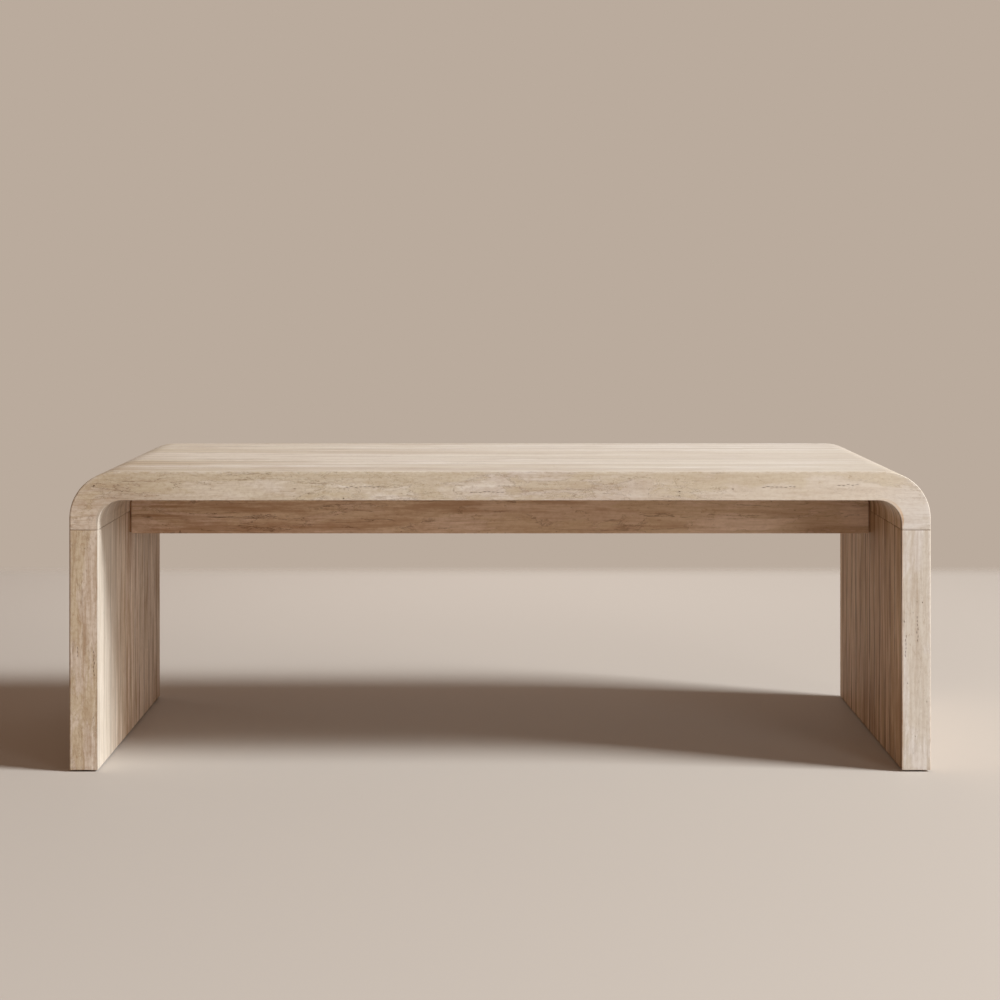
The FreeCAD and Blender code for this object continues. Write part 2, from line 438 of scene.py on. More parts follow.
def pit_faces(corner_ids, first_id):
    """Triangles from the corners to the rim, walls from the rim down, and a closing fan."""
    rim = first_id[:, None] + np.arange(rim_points)
    loop, lowest = rim + rim_points, first_id + 2 * rim_points
    faces = []
    for place in range(rim_points):
        after = (place + 1) % rim_points
        corner = (place // 3 + 2) % 4
        faces.append(np.stack([corner_ids[:, corner], rim[:, after], rim[:, place]], axis=1))
        faces.append(np.stack([rim[:, place], rim[:, after], loop[:, after]], axis=1))
        faces.append(np.stack([rim[:, place], loop[:, after], loop[:, place]], axis=1))
        faces.append(np.stack([loop[:, place], loop[:, after], lowest], axis=1))
        if place % 3 == 2:
            next_corner = corner_ids[:, (corner + 1) % 4]
            faces.append(np.stack([corner_ids[:, corner], next_corner, rim[:, after]], axis=1))
    return np.concatenate(faces)


print("pit helpers ready")

# %% [markdown]
# ## Where the pits are
# They keep to porous beds. A grid of random knots, few along the beds and many
# across them, gives each cell its porosity, and a cell opens where that is high.
# On the narrow faces, cracks are short rows of cells that open one after another.

# %% Choosing cells
crack_cells = (3, 9)
crack_margin = 12


def porosity(rings, places, knots):
    """Random values on the grid of cells, drawn out along the beds."""
    rows = np.array([wander(rings, knots[0]) for _ in range(knots[1])])
    blend = np.linspace(0, knots[1] - 1, places)
    low = np.minimum(blend.astype(int), knots[1] - 2)
    share = (blend - low)[:, None]
    return ((1 - share) * rows[low] + share * rows[low + 1]).T


def open_cells(labels, rings, ends, rates, cracks):
    """Cells that get a pit, and whether each is part of a crack.

    A cell's chance is the rate times the cube of its porosity, which is stretched
    first, so that tight beds keep almost no pits.
    """
    chance = np.zeros((rings - 1, len(labels)))
    for label, knots, rate in rates:
        places = labels == label
        field = porosity(rings - 1, places.sum(), knots)
        chance[:, places] = rate * np.clip(field * 2 - 0.7, 0.05, 1) ** 3
    crack = np.zeros(chance.shape, bool)
    side_places = np.flatnonzero(labels == "side")
    starts = random.integers(ends, rings - ends - crack_margin, cracks)
    lengths = random.integers(*crack_cells, cracks)
    for start, length, place in zip(starts, lengths, random.choice(side_places, cracks)):
        crack[start:start + length, place] = True
    chosen = (random.random(chance.shape) < chance) | crack
    chosen[:ends] = chosen[-ends:] = False
    return np.argwhere(chosen), crack[chosen]


print("choice ready")

# %% [markdown]
# ## Making a stone
# The grid's quads, without the opened cells, the pits and one flat face at each
# end make a closed mesh. Three attributes travel with it: how deep in a pit a
# point is, whether it lies on an eased edge, and the flow, the point's place in
# the slab as it was before it was bent. The beds are drawn on the flow, so that
# they run over the top and down both legs without a break, as in a waterfall.

# %% One stone from its lines
crack_long, crack_wide, crack_depth = 0.47, 0.13, 0.0016
pit_long, pit_wide = (0.1, 0.3), (0.12, 0.2)
pit_depths = (0.0005, 0.002)
rim_darkness = 0.15
sharp_angle = math.radians(32)


def make_stone(name, node, lines, half_width, counts, rates, cracks, begin=None, ends=8):
    """Sweeps the section, opens the pits and puts the stone in its node's place.

    begin is the flow at the first ring. Without it, the beds keep straight.
    """
    outer, inner, inset = lines
    points, labels = section_rings(outer, inner, inset, half_width,
                                   corner_radii(outer[:, 0]), counts)
    if begin is None:
        points[:, :, 3:] = points[:, :, :3]
    else:
        points[:, :, 3] += begin
    rings, places = points.shape[:2]
    ids = np.arange(rings * places).reshape(rings, places)
    after = np.roll(ids, -1, axis=1)
    quads = np.stack([ids[:-1], ids[1:], after[1:], after[:-1]], axis=2)
    cells, crack = open_cells(labels, rings, ends, rates, cracks)
    pit_corners = quads[cells[:, 0], cells[:, 1]]
    flat = points.reshape(-1, 6)
    count = len(cells)
    long = np.where(crack, crack_long, pit_long[0] + pit_long[1] * random.random(count) ** 2)
    wide = np.where(crack, crack_wide, pit_wide[0] + pit_wide[1] * random.random(count) ** 2)
    size = np.stack([long, wide], axis=1)
    centre = 0.5 + (random.random((count, 2)) - 0.5) * (1 - 2.1 * size)
    depth = np.where(crack, crack_depth, random.uniform(*pit_depths, count))
    pits = pit_points(flat[pit_corners], size, centre, depth)
    first_ids = len(flat) + np.arange(count) * (2 * rim_points + 1)
    keep = np.ones(quads.shape[:2], bool)
    keep[cells[:, 0], cells[:, 1]] = False
    faces = quads[keep].tolist() + pit_faces(pit_corners, first_ids).tolist()
    faces += [ids[0].tolist(), ids[-1][::-1].tolist()]

    mesh = bpy.data.meshes.new(name)
    every = np.vstack([flat, pits.reshape(-1, 6)])
    mesh.from_pydata(every[:, :3].tolist(), [], faces)
    flow = mesh.attributes.new("flow", "FLOAT_VECTOR", "POINT").data
    flow.foreach_set("vector", every[:, 3:].astype(np.float32).ravel())
    # How deep in a pit a point is; the finish darkens it there, with dirt and painted shade.
    pit_dirt_and_shade = np.tile(np.repeat([rim_darkness, 1.0, 1.0], [rim_points, rim_points, 1]), count)
    on_edge = np.tile(labels == "", (rings, 1)).ravel()
    for attribute, values, rest in (("pit", np.zeros(len(flat)), pit_dirt_and_shade),
                                    ("edge", on_edge, 0 * pit_dirt_and_shade)):
        data = mesh.attributes.new(attribute, "FLOAT", "POINT").data
        data.foreach_set("value", np.append(values, rest).astype(np.float32))
    mesh.shade_smooth()
    mesh.set_sharp_from_angle(angle=sharp_angle)
    stone = bpy.data.objects.new(name, mesh)
    bpy.context.scene.collection.objects.link(stone)
    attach(stone, "root")
    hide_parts(node)
    mesh.calc_loop_triangles()
    print(name, "triangles:", len(mesh.loop_triangles), " pits:", count,
          " flow:", points[[0, -1], 0, 3].round(3).tolist())
    return stone


print("stone maker ready")

# %% [markdown]
# ## The four stones
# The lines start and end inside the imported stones' ends, and easing brings them
# out to the full size. The ends along a leg's seam are eased less, so that the
# seam stays a hairline.

# %% The stones
seam_ease = 0.0002
low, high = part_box("table_top")
outer_radius, cove_radius = 0.065, 0.033
leg_low, leg_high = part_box("right_leg")
foot_z = low.z + seam_ease
top_counts = (3, 14, 86)
leg_rows = 62
stretcher_rows = (8, 90)
underside_z = high.z - (leg_high.x - leg_low.x)
top_lines = eased(
    turned_down(high.x, high.z, outer_radius, foot_z, top_counts),
    turned_down(leg_low.x, underside_z, cove_radius, foot_z, top_counts), seam_ease, seam_ease)
seam_flow = np.linalg.norm(np.diff((top_lines[0] + top_lines[1]) / 2, axis=0), axis=1).sum() / 2
stones = {}
stones["table_top"] = make_stone(
    "stone_top", "table_top", top_lines, high.y, (140, 12),
    [("outer", (12, 90), 0.08), ("inner", (12, 90), 0.05), ("side", (40, 5), 0.07)], 6,
    begin=-seam_flow)

for side, sign in (("left", -1), ("right", 1)):
    low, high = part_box(side + "_leg")
    outside, inside = (low.x, high.x) if sign < 0 else (high.x, low.x)
    foot, head = low.z + fine_arris, high.z - seam_ease
    lines = [np.vstack([straight((x, foot), (x, head), leg_rows), [(x, head)]])
             for x in (outside, inside)]
    if sign > 0:
        lines = [line[::-1] for line in lines]
    eases = (fine_arris, seam_ease) if sign < 0 else (seam_ease, fine_arris)
    stones[side + "_leg"] = make_stone(
        "stone_leg_" + side, side + "_leg", eased(*lines, *eases), high.y, (170, 12),
        [("outer", (6, 90), 0.10), ("inner", (6, 90), 0.06), ("side", (14, 5), 0.06)], 2,
        begin=seam_flow if sign > 0 else low.z - high.z - seam_flow)

low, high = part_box("stretcher")
stretcher_half_width = high.y
bend_x = high.x - cove_radius
stop_angle = math.degrees(math.acos(1 - fine_arris / cove_radius))
bend = arc((-bend_x, high.z - cove_radius), cove_radius, 180 - stop_angle, 90,
           stretcher_rows[0])
half = np.vstack([bend, straight((-bend_x, high.z), (0, high.z), stretcher_rows[1])])
upper = mirrored(half, (0, high.z))
lower = np.column_stack([upper[:, 0], np.full(len(upper), low.z)])
stones["stretcher"] = make_stone(
    "stone_stretcher", "stretcher", eased(upper, lower, fine_arris, fine_arris),
    high.y, (10, 22),
    [("outer", (20, 3), 0.05), ("inner", (20, 5), 0.1), ("side", (40, 9), 0.07)], 8)

# %% [markdown]
# ## Holes and recesses
# The dowels and pins sit in blind holes and the glides in shallow recesses. They
# are bored as a mason bores them, once the slab is shaped: all the rods of one
# stone are a single mesh, and a Boolean modifier takes it out of the stone. Where
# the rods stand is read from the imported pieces, a little slack is added, and the
# modifier is applied so that the finished mesh is plain again.

# %% Boring the stones
rod_sides = 48
side_slack = 0.0001
end_slack = 0.0008
glide_slack = 0.0002
overshoot = 0.01


def rods_mesh(rods):
    """One mesh of upright closed rods. Each rod is x, y, radius, low z and high z."""
    angle = np.arange(rod_sides) / rod_sides * 2 * np.pi
    circle = np.column_stack([np.cos(angle), np.sin(angle)])
    points, faces = [], []
    for x, y, radius, low_z, high_z in rods:
        first = len(points) * rod_sides
        for z in (low_z, high_z):
            points.append(np.column_stack([circle * radius + (x, y), np.full(rod_sides, z)]))
        base = first + np.arange(rod_sides)
        after = np.roll(base, -1)
        faces += np.column_stack([base, after, after + rod_sides, base + rod_sides]).tolist()
        faces += [base[::-1].tolist(), (base + rod_sides).tolist()]
    mesh = bpy.data.meshes.new("rods")
    mesh.from_pydata(np.vstack(points).tolist(), [], faces)
    return mesh


def bore(stone, rods):
    """Takes the rods out of a stone and applies the result."""
    cutter = bpy.data.objects.new("rods", rods_mesh(rods))
    bpy.context.scene.collection.objects.link(cutter)
    modifier = stone.modifiers.new("bore", "BOOLEAN")
    modifier.operation, modifier.solver, modifier.object = "DIFFERENCE", "MANIFOLD", cutter
    bpy.context.view_layer.update()
    bored = stone.evaluated_get(bpy.context.evaluated_depsgraph_get())
    shaped = bpy.data.meshes.new_from_object(bored)
    stone.modifiers.clear()
    name, stone.data.name = stone.data.name, "uncut"
    stone.data, shaped.name = shaped, name
    shaped.materials.clear()
    shaped.set_sharp_from_angle(angle=sharp_angle)
    bpy.data.objects.remove(cutter)
    print(stone.name, "bored:", len(rods))


def rod_of(node, slack, low_z=None, high_z=None):
    """The hole for one packed rod, with its own ends unless others are given."""
    low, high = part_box(node)
    bottom = low.z - end_slack if low_z is None else low_z
    top = high.z + end_slack if high_z is None else high_z
    return ((low.x + high.x) / 2, (low.y + high.y) / 2, (high.x - low.x) / 2 + slack, bottom, top)


seam_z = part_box("table_top")[0].z
bed_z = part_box("stretcher")[1].z
dowels = {side: [f"{side}_dowel_{number}" for number in range(1, 5)] for side in ("left", "right")}
pins = [f"stretcher_pin_{number}" for number in range(1, 6)]
top_rods = [rod_of(node, side_slack, low_z=seam_z - overshoot)
            for node in dowels["left"] + dowels["right"]]
top_rods += [rod_of(node, side_slack, low_z=bed_z) for node in pins]
bore(stones["table_top"], top_rods)
bore(stones["stretcher"], [rod_of(node, side_slack, high_z=bed_z + overshoot) for node in pins])
for side in ("left", "right"):
    rods = [rod_of(node, side_slack, high_z=seam_z + overshoot) for node in dowels[side]]
    recess_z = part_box(f"{side}_glide_1")[1].z
    rods += [rod_of(f"{side}_glide_{number}", glide_slack, -overshoot, recess_z)
             for number in range(1, 4)]
    bore(stones[side + "_leg"], rods)

# %% [markdown]
# ## Travertine
# Travertine is laid down bed on bed, each a little different in colour, and the
# beds are never quite flat. These slabs are sawn with the beds upright, so the
# top and the sides show long lines, and the front, cut along a bed, shows the
# clouds where the saw went in and out of it. One field gives both: a noise that
# changes quickly across the beds and slowly along them, read at a place that a
# second noise has pushed to and fro. The place is the flow, so that one block
# gives the top and both legs. Its beds are stronger towards the legs.
#
# Each pattern is a noise stretched to the size of what it draws, and a tone is
# laid on between two of its levels.

# %% Pattern helpers
def times(tree, first, *others):
    """Values or sockets multiplied together."""
    for other in others:
        first = maths(tree, "MULTIPLY", first, other)
    return first


def plus(tree, first, *others):
    """Values or sockets added up."""
    for other in others:
        first = maths(tree, "ADD", first, other)
    return first


def layer(tree, where, sizes, detail, rough, shift, distortion=0.0):
    """Noise from 0 to 1. Sizes are those of its features along, across and through the slab."""
    stretched = vectors(tree, "MULTIPLY", where, tuple(1 / size for size in sizes))
    moved = vectors(tree, "ADD", stretched, (shift, shift, shift))
    inputs = {"Vector": moved, "Scale": 1.0, "Detail": detail, "Roughness": rough,
              "Distortion": distortion}
    return add(tree, "ShaderNodeTexNoise", inputs).outputs["Fac"]


def share(tree, value, low, high, most, part=1.0):
    """How much of a tone to lay on: nothing at low, and most times part at high."""
    return times(tree, between(tree, value, low, high), part, most)


def hairline(tree, value, level, width, where):
    """1 on the line where a noise crosses a level, kept only where a second noise is high."""
    near = maths(tree, "ABSOLUTE", maths(tree, "SUBTRACT", value, level))
    line = maths(tree, "SUBTRACT", 1.0, between(tree, near, 0.0, width))
    return times(tree, line, between(tree, where, 0.46, 0.58))


def weaker(tree, mask, reach):
    """1 where a mask is 0, and less where it is 1. A smaller reach leaves less."""
    return between(tree, mask, reach, 0.0)


def stronger(tree, mask, start):
    """1 where a mask is 1, and less where it is 0. A lower start leaves more."""
    return between(tree, mask, start, 1.0)


def spread(tree, value, low, high, start=0.0, stop=1.0):
    """A straight climb from low to high while a value goes from start to stop."""
    inputs = {"Value": value, "From Min": start, "From Max": stop, "To Min": low, "To Max": high}
    return add(tree, "ShaderNodeMapRange", inputs).outputs["Result"]


print("pattern helpers ready")

# %% [markdown]
# ## Where on the stone
# A pattern has to know whether it is on the top, on a leg, on the front or inside,
# because the saw met the beds in another way there. The flow tells: how far along
# the slab a point is, how far across and how deep. Each region is a mask, 1 in it
# and 0 elsewhere, with a soft change over the bends.

# %% Regions of the table
skin = (0.0015, 0.0005)
slab_thickness = 0.04
inner_skin = (slab_thickness - 0.0015, slab_thickness - 0.001)
turn_length = 0.1


def regions(tree, half_width):
    """The places to read patterns at, and masks of the stone's regions.

    place is the flow, and along, across and deep are its parts. block is the place
    in the stone itself, stood upright in the legs. on_face is the front and the
    back. leftward and rightward are the two legs, lower is both, not_lower is the
    rest, and on_top is the rest too, stronger at the left. inside is every inner
    side, and outside the outer sides of the legs.
    """
    at = SimpleNamespace()
    at.place = add(tree, "ShaderNodeAttribute", attribute_name="flow").outputs["Vector"]
    flow = add(tree, "ShaderNodeSeparateXYZ", {0: at.place}).outputs
    at.along, at.across, at.deep = flow["X"], flow["Y"], flow["Z"]
    lying = add(tree, "ShaderNodeTexCoord").outputs["Object"]
    axes = add(tree, "ShaderNodeSeparateXYZ", {0: lying}).outputs
    turned = {0: axes["Z"], 1: axes["Y"], 2: axes["X"]}
    upright = add(tree, "ShaderNodeCombineXYZ", turned).outputs[0]
    at.far_along = maths(tree, "ABSOLUTE", at.along)
    below = maths(tree, "GREATER_THAN", at.far_along, seam_flow)
    at.block = mix_colour(tree, below, lying, upright)
    at.on_face = between(tree, maths(tree, "ABSOLUTE", at.across),
                         half_width - skin[0], half_width - skin[1])
    at.leftward = between(tree, at.along, turn_length - seam_flow, -seam_flow)
    at.rightward = between(tree, at.along, seam_flow - turn_length, seam_flow)
    at.lower = maths(tree, "MAXIMUM", at.leftward, at.rightward)
    at.not_lower = maths(tree, "SUBTRACT", 1.0, at.lower)
    at.on_top = times(tree, at.not_lower, spread(tree, at.along, 1.5, 0.6, -0.6, 0.6))
    at.inside = between(tree, at.deep, *inner_skin)
    at.outside = times(tree, at.lower, between(tree, at.deep, *skin))
    return at


def by_region(tree, at, values, top=None):
    """A strength that is one number on the top and one on each leg."""
    places = (at.on_top if top is None else top, at.leftward, at.rightward)
    return plus(tree, *(times(tree, where, value) for where, value in zip(places, values)))


def top_and_legs(tree, at, pair):
    """The first number on the top, the second on the legs, and a blend over the bends."""
    return spread(tree, at.lower, *pair)


print("regions ready")

# %% [markdown]
# ## Beds
# The beds drift from pale to tan. Brown stripes of two widths lie in them, some
# beds are rosy and some greenish, and on the legs' sides narrow dark ones return
# at an even distance and fade in and out. The stone is paler towards the right, on
# the right leg's front and on the left leg: partly its own tone, and partly painted
# light, for the stronger light on the right and to lift the left leg's shaded side.

# %% Colour of the beds
ribs_across = 13
rib_pitch = 0.6 / ribs_across
umber = srgb(104, 72, 44)


def bed_colour(tree, at, bed, tones, stripes, beds, ribs):
    """The beds' colour, and their broad drift, from 0 to 1. bed is the place to read them at."""
    pale, tan, brown, khaki, rose = tones
    plainer = weaker(tree, at.outside, 1.75)
    beds = times(tree, by_region(tree, at, beds), plainer, weaker(tree, at.on_face, 2.2))
    ribs = times(tree, by_region(tree, at, ribs), plainer, weaker(tree, at.on_face, 1.5))
    broad = layer(tree, bed, (1.1, 0.03, 0.35), detail=5, rough=0.66, shift=3.1)
    stripe = layer(tree, bed, (0.9, stripes[0], 0.3), detail=2, rough=0.6, shift=6.4)
    thin = layer(tree, bed, (0.6, stripes[1], 0.2), detail=2, rough=0.6, shift=7.7)
    hue = layer(tree, bed, (0.8, 0.022, 0.3), detail=1, rough=0.5, shift=15.2)
    fade = layer(tree, at.place, (0.16, 0.05, 0.1), detail=3, rough=0.55, shift=19.4)
    colour = mix_colour(tree, between(tree, broad, 0.36, 0.64), pale, tan)
    for pattern, low, high, part, tone in (
            (stripe, 0.47, 0.59, 0.6, brown), (thin, 0.49, 0.61, 0.7, brown),
            (hue, 0.5, 0.6, 0.5, rose), (hue, 0.5, 0.4, 0.5, khaki)):
        colour = mix_colour(tree, share(tree, pattern, low, high, beds, part), colour, tone)
    phase = add(tree, "ShaderNodeSeparateXYZ", {0: bed}).outputs["Y"]
    phase = plus(tree, times(tree, phase, 2 * math.pi / rib_pitch), times(tree, broad, 6.0))
    wave = share(tree, maths(tree, "SINE", phase), 0.6, 0.98, between(tree, fade, 0.3, 0.55))
    return mix_colour(tree, times(tree, wave, ribs), colour, umber), broad


def paleness_and_painted_light(tree, at):
    """How much of the pale tone covers the beds: partly the stone's tone, and partly painted
    light, rising towards the right where the light is stronger and lifting the left leg, whose
    inner side lies in shade.
    """
    much = times(tree, spread(tree, at.along, 0.0, 0.45, -0.5, 0.7),
                 weaker(tree, at.on_face, 2.8), weaker(tree, at.rightward, 1.2))
    much = plus(tree, much, times(tree, at.leftward, 0.3))
    for where, leg, most in ((at.on_face, at.leftward, 0.15), (at.inside, at.leftward, 0.12),
                             (at.on_face, at.rightward, 0.68)):
        much = plus(tree, much, share(tree, where, 0.0, 1.0, leg, most))
    return much


print("beds ready, ribs every", round(rib_pitch, 4), "m")

# %% [markdown]
# ## Clouds, grain and cracks
# Where the saw followed a bed, porous patches lie open, full of holes of a few
# millimetres. Over everything go a slow drift, thin streaks, fibres and mottles of
# a grain's size. Fine dark lines run round the patches, along the folded beds and
# in crinkles over the front.

# %% Clouds, grain and cracks
def cloud_colour(tree, at, colour, tones, clouds, streaks, mottling, rise):
    """The colour with its patches and grain, and the patterns that the relief needs."""
    pale, tan, brown, khaki = tones[:4]
    block = at.block
    islands = layer(tree, block, (0.12, 0.09, 0.032), detail=8, rough=0.66, shift=1.9,
                    distortion=0.5)
    sponge = layer(tree, block, (0.0085, 0.004, 0.0042), detail=4, rough=0.68, shift=5.2,
                   distortion=0.6)
    drift = layer(tree, block, (0.5, 0.16, 0.3), detail=2, rough=0.5, shift=9.4)
    streak = layer(tree, block, (0.16, 0.1, 0.012), detail=5, rough=0.62, shift=13.7)
    fibre = layer(tree, block, (0.06, 0.0036, 0.0034), detail=3, rough=0.65, shift=2.2)
    grain = layer(tree, block, (0.13, 0.011, 0.3), detail=3, rough=0.62, shift=27.0)
    mottle = layer(tree, block, (0.0075, 0.006, 0.0045), detail=3, rough=0.7, shift=23.0)
    lean = times(tree, maths(tree, "SUBTRACT", at.deep, slab_thickness / 2), rise)
    islands = plus(tree, islands, lean)
    porous = times(tree, between(tree, islands, 0.56, 0.45),
                   by_region(tree, at, clouds, at.not_lower), stronger(tree, at.on_face, -0.6))
    colour = mix_colour(tree, porous, colour, khaki)
    holes = times(tree, between(tree, sponge, 0.57, 0.7), plus(tree, porous, 0.08))
    colour = mix_colour(tree, times(tree, holes, 0.7), colour, brown)
    streaks = by_region(tree, at, streaks)
    grained = times(tree, at.inside, at.lower)
    mottling = times(tree, by_region(tree, at, mottling), stronger(tree, at.on_face, -1.0))
    for pattern, low, high, most, part, tone in (
            (drift, 0.35, 0.65, 0.25, 1.0, tan), (streak, 0.48, 0.66, streaks, 1.0, brown),
            (fibre, 0.42, 0.62, streaks, 0.6, brown), (grain, 0.52, 0.64, grained, 0.65, brown),
            (grain, 0.5, 0.36, grained, 0.65, pale), (mottle, 0.42, 0.66, mottling, 1.0, brown)):
        colour = mix_colour(tree, share(tree, pattern, low, high, most, part), colour, tone)
    return colour, islands, sponge, holes, fibre


def crack_lines(tree, at, push, islands, cracks, crazing):
    """1 on the cracks: rims of patches, opened beds, and crinkles on the front."""
    block = at.block
    kept = layer(tree, block, (0.09, 0.07, 0.04), detail=2, rough=0.6, shift=8.3)
    rims = hairline(tree, islands, 0.498, 0.011, kept)
    folds = layer(tree, vectors(tree, "ADD", block, push), (0.3, 0.02, 0.022),
                  detail=4, rough=0.55, shift=4.8)
    kept = layer(tree, block, (0.09, 0.05, 0.03), detail=2, rough=0.6, shift=17.1)
    opened = hairline(tree, folds, 0.5, 0.012, kept)
    crinkles = layer(tree, block, (0.05, 0.04, 0.02), detail=6, rough=0.62, shift=31.0,
                     distortion=0.8)
    kept = plus(tree, layer(tree, block, (0.3, 0.1, 0.05), detail=1, rough=0.5, shift=40.0),
                share(tree, islands, 0.55, 0.45, 0.06))
    crazed = times(tree, hairline(tree, crinkles, 0.5, 0.011, kept),
                   times(tree, at.on_face, crazing))
    line = maths(tree, "MAXIMUM", maths(tree, "MAXIMUM", rims, opened), crazed)
    return times(tree, line, by_region(tree, at, cracks), stronger(tree, at.on_face, -1.0))


print("clouds and cracks ready")

# %% [markdown]
# ## The finish
# Last come the pits, which are darker inside, with dirt and painted shade, the
# eased edges, where the pad has left a paler line, and painted light and shade:
# a darker line on the left leg's outer corners, the left leg warmer, the right one
# cooler for the whiter light there and a little darker against its strength, the
# inner sides browner for the warm shade under the top, and the outer sides darker
# against the lamp. The polish is finer on the top than on the legs, and the holes
# and the cracks are let into the relief.

# %% Travertine finish
def tinted_with_painted_light(tree, at, colour, pale, sponge, painted_light_tints):
    """The colour with its pits, darker inside with dirt and painted shade, its edges, a
    painted-shade line on the left leg's outer corners, and the painted light and shade of the
    legs' tints and of their sides.
    """
    left_painted_light_tint, right_painted_light_tint, inner_painted_shade_tint, outer_painted_shade_tint = painted_light_tints
    pit = add(tree, "ShaderNodeAttribute", attribute_name="pit").outputs["Fac"]
    edge = add(tree, "ShaderNodeAttribute", attribute_name="edge").outputs["Fac"]
    painted_shade_arris = times(tree, at.leftward, between(tree, at.deep, 0.004, 0.002))
    # Pits darker inside: dirt, and painted shade in the hollows.
    colour = mix_colour(tree, times(tree, pit, 0.55), colour, umber)
    colour = mix_colour(tree, share(tree, sponge, 0.4, 0.6, edge, 0.3), colour, pale)
    # Painted shade: the left leg's outer corners are darker, as they face away from the light.
    colour = mix_colour(tree, share(tree, edge, 0.5, 1.0, painted_shade_arris, 0.5), colour, umber)
    # Painted shade: the inner sides, most on the right leg, are tinted browner for the warm shade
    # under the top.
    inner = times(tree, plus(tree, times(tree, at.leftward, 0.3), at.rightward),
                  maths(tree, "SUBTRACT", at.inside, edge))
    # Painted light and shade: the left leg warmer, the right one cooler and a little darker, the
    # inner sides browner and the outer sides darker against the lamp.
    for where, tint in ((at.leftward, left_painted_light_tint), (at.rightward, right_painted_light_tint),
                        (inner, inner_painted_shade_tint), (at.outside, outer_painted_shade_tint)):
        colour = mix_colour(tree, where, colour, tint, "MULTIPLY")
    return colour


def joint_stain(tree, at, colour, seam):
    """A darker hairline on the front where a leg meets the top."""
    off_seam = maths(tree, "ABSOLUTE", maths(tree, "SUBTRACT", at.far_along, seam_flow))
    stain = share(tree, off_seam, 0.0007, 0.0002, at.on_face, seam)
    return mix_colour(tree, stain, colour, umber)


def painted_lit_strip_colour(tree, at, colour, much):
    """Painted light: a paler, greyer strip inside the left leg, stronger towards the front, where
    the lamp's light falls on that side.
    """
    where = times(tree, at.inside, at.leftward, between(tree, at.across, -0.02, -0.24))
    return mix_colour(tree, times(tree, where, much), colour, srgb(191, 183, 171))


def travertine(name, half_width, tones, painted_light_tints, sway, stripes, ribs, beds, clouds, streaks,
               cracks, mottling, roughness, specular, rise=0.0, crazing=0.0, seam=0.0, painted_lit_strip=0.0):
    """Vein-cut travertine.

    tones are pale, tan, brown, khaki and rose, and tints are multiplied in: on the
    left leg, on the right one, on their inner sides and on their outer sides. The
    tints are painted light and shade: the left leg warmer, the right one cooler for
    the whiter light there and a little darker against its strength, the inner sides
    browner for the warm shade under the top, and the outer sides darker against the
    lamp. sway is how far the beds bend, on the top and on the legs, and stripes how
    wide the strong and the thin ones are, in metres. ribs, beds, clouds, streaks,
    cracks and mottling are the strengths of the even dark lines, the stripes, the
    porous patches, the fine grain, the cracks and the fine spots, each on the top,
    on the left leg and on the right one. rise makes the patches gather near the
    outer edge, crazing adds crinkled lines on the front, seam darkens the joint
    there, and the lit strip's strength lays a paler, greyer strip inside the left
    leg near its front, painted light where the lamp falls there. roughness is on the
    palest and on the darkest beds, and specular on the top and on the legs.
    """
    material, tree, shader, _ = new_material(name)
    at = regions(tree, half_width)
    waves = layer(tree, at.place, (0.11, 0.07, 0.028), detail=8, rough=0.66, shift=11.3)
    push = times(tree, maths(tree, "SUBTRACT", waves, 0.5), top_and_legs(tree, at, sway))
    push = add(tree, "ShaderNodeCombineXYZ", {1: push}).outputs[0]
    bed = vectors(tree, "ADD", at.place, push)
    colour, broad = bed_colour(tree, at, bed, tones, stripes, beds, ribs)
    colour = mix_colour(tree, paleness_and_painted_light(tree, at), colour, tones[0])
    colour, islands, sponge, holes, fibre = cloud_colour(
        tree, at, colour, tones, clouds, streaks, mottling, rise)
    line = crack_lines(tree, at, push, islands, cracks, crazing)
    colour = mix_colour(tree, line, colour, umber)
    colour = tinted_with_painted_light(tree, at, colour, tones[0], sponge, painted_light_tints)
    if seam:
        colour = joint_stain(tree, at, colour, seam)
    if painted_lit_strip:
        colour = painted_lit_strip_colour(tree, at, colour, painted_lit_strip)
    tree.links.new(colour, shader.inputs["Base Color"])

    rough = plus(tree, spread(tree, broad, *roughness), times(tree, holes, 0.3),
                 times(tree, at.lower, 0.14))
    tree.links.new(rough, shader.inputs["Roughness"])
    if specular[0] == specular[1]:
        shader.inputs["Specular IOR Level"].default_value = specular[0]
    else:
        tree.links.new(top_and_legs(tree, at, specular), shader.inputs["Specular IOR Level"])
    height = maths(tree, "SUBTRACT", times(tree, fibre, 0.15), plus(tree, holes, line))
    relief = {"Height": height, "Strength": 0.4, "Distance": 0.0005}
    tree.links.new(add(tree, "ShaderNodeBump", relief).outputs[0], shader.inputs["Normal"])
    return material


print("travertine finish ready")

# %% [markdown]
# ## Two slabs of travertine
# The top and the legs come from one slab. The stretcher's pattern is plainer, with
# the same strengths all over, and its tones are warmer: painted shade, for the warm
# shade it lies in under the top.

# %% Finishing the stones
places = 3
untinted = srgb(255, 255, 255)
slab_finish = travertine(
    "travertine_slab", cad_high.y,
    tones=(srgb(231, 223, 216), srgb(208, 194, 176), srgb(150, 118, 86),
           srgb(190, 173, 144), srgb(207, 190, 174)),
    # Painted light and shade: the left leg warmer, the right cooler and darker, the inner sides
    # browner and the outer sides darker.
    painted_light_tints=(srgb(255, 250, 244), srgb(246, 248, 252), srgb(247, 219, 187), srgb(236, 230, 223)),
    sway=(0.03, 0.012), stripes=(0.02, 0.016), ribs=(0.3, 1.1, 1.1), beds=(0.95, 1.15, 1.25),
    clouds=(0.62, 0.65, 0.35), streaks=(0.22, 0.5, 0.3), cracks=(0.42, 0.3, 0.12),
    mottling=(0.2, 0.32, 0.15), roughness=(0.36, 0.5), specular=(0.5, 0.2),
    rise=2.6, crazing=0.9, seam=0.3, painted_lit_strip=0.62)
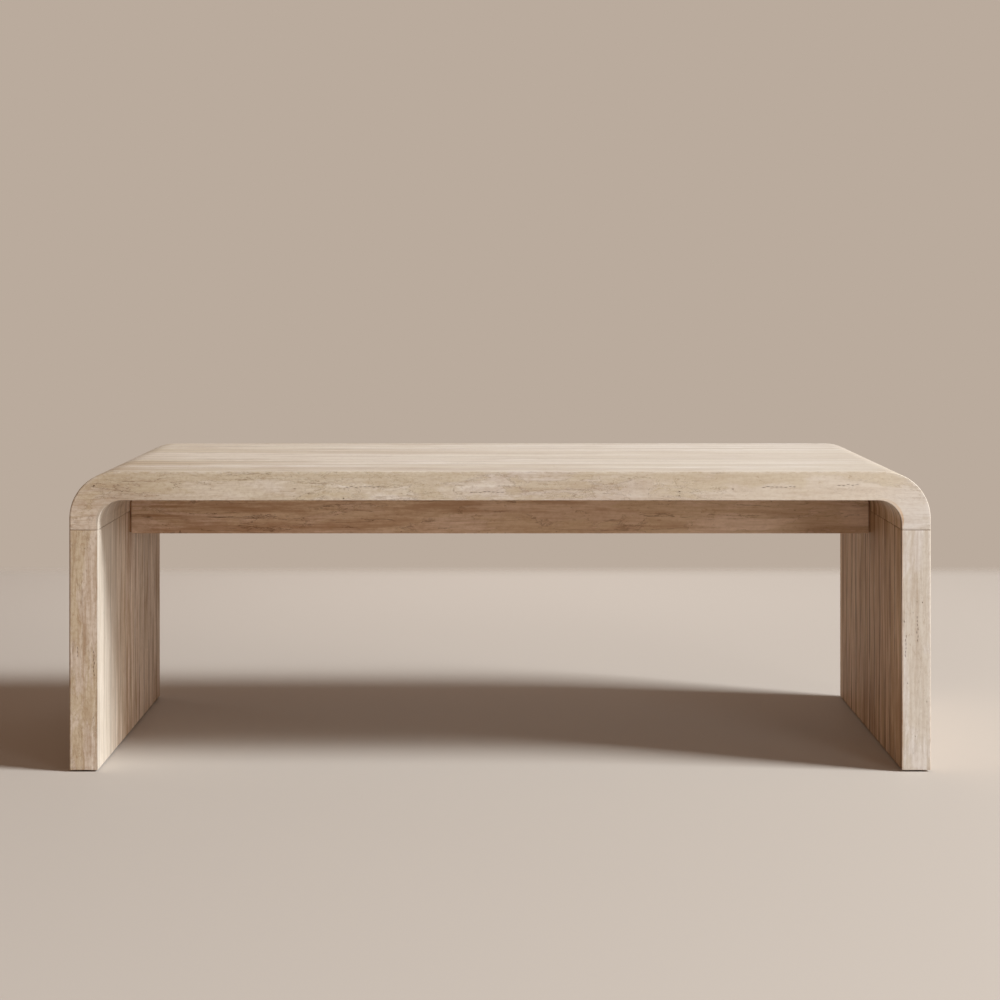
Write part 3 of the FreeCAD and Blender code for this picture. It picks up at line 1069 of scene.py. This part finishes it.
# Warmer tones than the slab's: painted shade under the top.
stretcher_painted_shade_finish = travertine(
    "travertine_stretcher_painted_shade", stretcher_half_width,
    tones=(srgb(234, 209, 188), srgb(214, 181, 151), srgb(160, 118, 84),
           srgb(198, 169, 132), srgb(214, 181, 157)),
    painted_light_tints=(untinted,) * 4,
    sway=(0.02, 0.02), stripes=(0.012, 0.012), ribs=(0.0,) * places, beds=(0.65,) * places,
    clouds=(0.5,) * places, streaks=(0.5,) * places, cracks=(0.6,) * places,
    mottling=(0.2,) * places, roughness=(0.5, 0.65), specular=(0.2, 0.2))
for node, stone in stones.items():
    stone.data.materials.append(stretcher_painted_shade_finish if node == "stretcher" else slab_finish)
print("travertine made, seam at flow", round(float(seam_flow), 4))

# %% [markdown]
# ## Resin, steel and nylon
# The joints are filled with a tinted resin, a little cloudy and glossier than the
# stone. The dowels and pins are stainless rod with fine turning marks round them,
# and the glides are dark nylon with the dull skin of a moulded part.

# %% Fittings and joints
def finish_nodes(material, nodes):
    """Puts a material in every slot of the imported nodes."""
    for node in nodes:
        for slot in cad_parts[node].material_slots:
            slot.material = material


def noise(tree, scale, detail=3):
    """Noise on the object's own coordinates. scale is one number, or one for each axis."""
    place = add(tree, "ShaderNodeTexCoord").outputs["Object"]
    stretch = scale if isinstance(scale, tuple) else (scale,) * 3
    place = vectors(tree, "MULTIPLY", place, stretch)
    inputs = {"Vector": place, "Scale": 1.0, "Detail": detail, "Roughness": 0.5}
    return add(tree, "ShaderNodeTexNoise", inputs).outputs["Fac"]


def two_tone(name, light, dark, scale, rough, bump_height, bump_scale, metallic=0.0):
    """A finish that drifts between two tones, with roughness to match and a fine bump."""
    material, tree, shader, _ = new_material(name)
    drift = noise(tree, scale)
    colour = mix_colour(tree, between(tree, drift, 0.35, 0.65), dark, light)
    tree.links.new(colour, shader.inputs["Base Color"])
    tree.links.new(spread(tree, drift, *rough), shader.inputs["Roughness"])
    inputs = {"Height": noise(tree, bump_scale, 2), "Strength": 0.5, "Distance": bump_height}
    tree.links.new(add(tree, "ShaderNodeBump", inputs).outputs[0], shader.inputs["Normal"])
    shader.inputs["Metallic"].default_value = metallic
    return material


resin = two_tone("joint_resin", srgb(156, 116, 82), srgb(132, 96, 66), scale=60.0,
                 rough=(0.3, 0.5), bump_height=0.0003, bump_scale=900.0)
steel = two_tone("stainless_steel", srgb(205, 203, 199), srgb(182, 180, 176),
                 scale=(20.0, 20.0, 1500.0), rough=(0.25, 0.4), bump_height=0.00005,
                 bump_scale=(40.0, 40.0, 2500.0), metallic=1.0)
nylon = two_tone("glide_nylon", srgb(58, 56, 54), srgb(46, 44, 43), scale=90.0,
                 rough=(0.5, 0.65), bump_height=0.0001, bump_scale=1800.0)
finish_nodes(resin, ["left_seam_resin", "right_seam_resin", "left_stretcher_resin",
                     "right_stretcher_resin", "stretcher_bed_resin"])
finish_nodes(steel, dowels["left"] + dowels["right"] + pins)
glides = [f"{side}_glide_{number}" for side in ("left", "right") for number in range(1, 4)]
finish_nodes(nylon, glides)
print("fittings finished:", len(dowels["left"]) * 2 + len(pins) + len(glides))
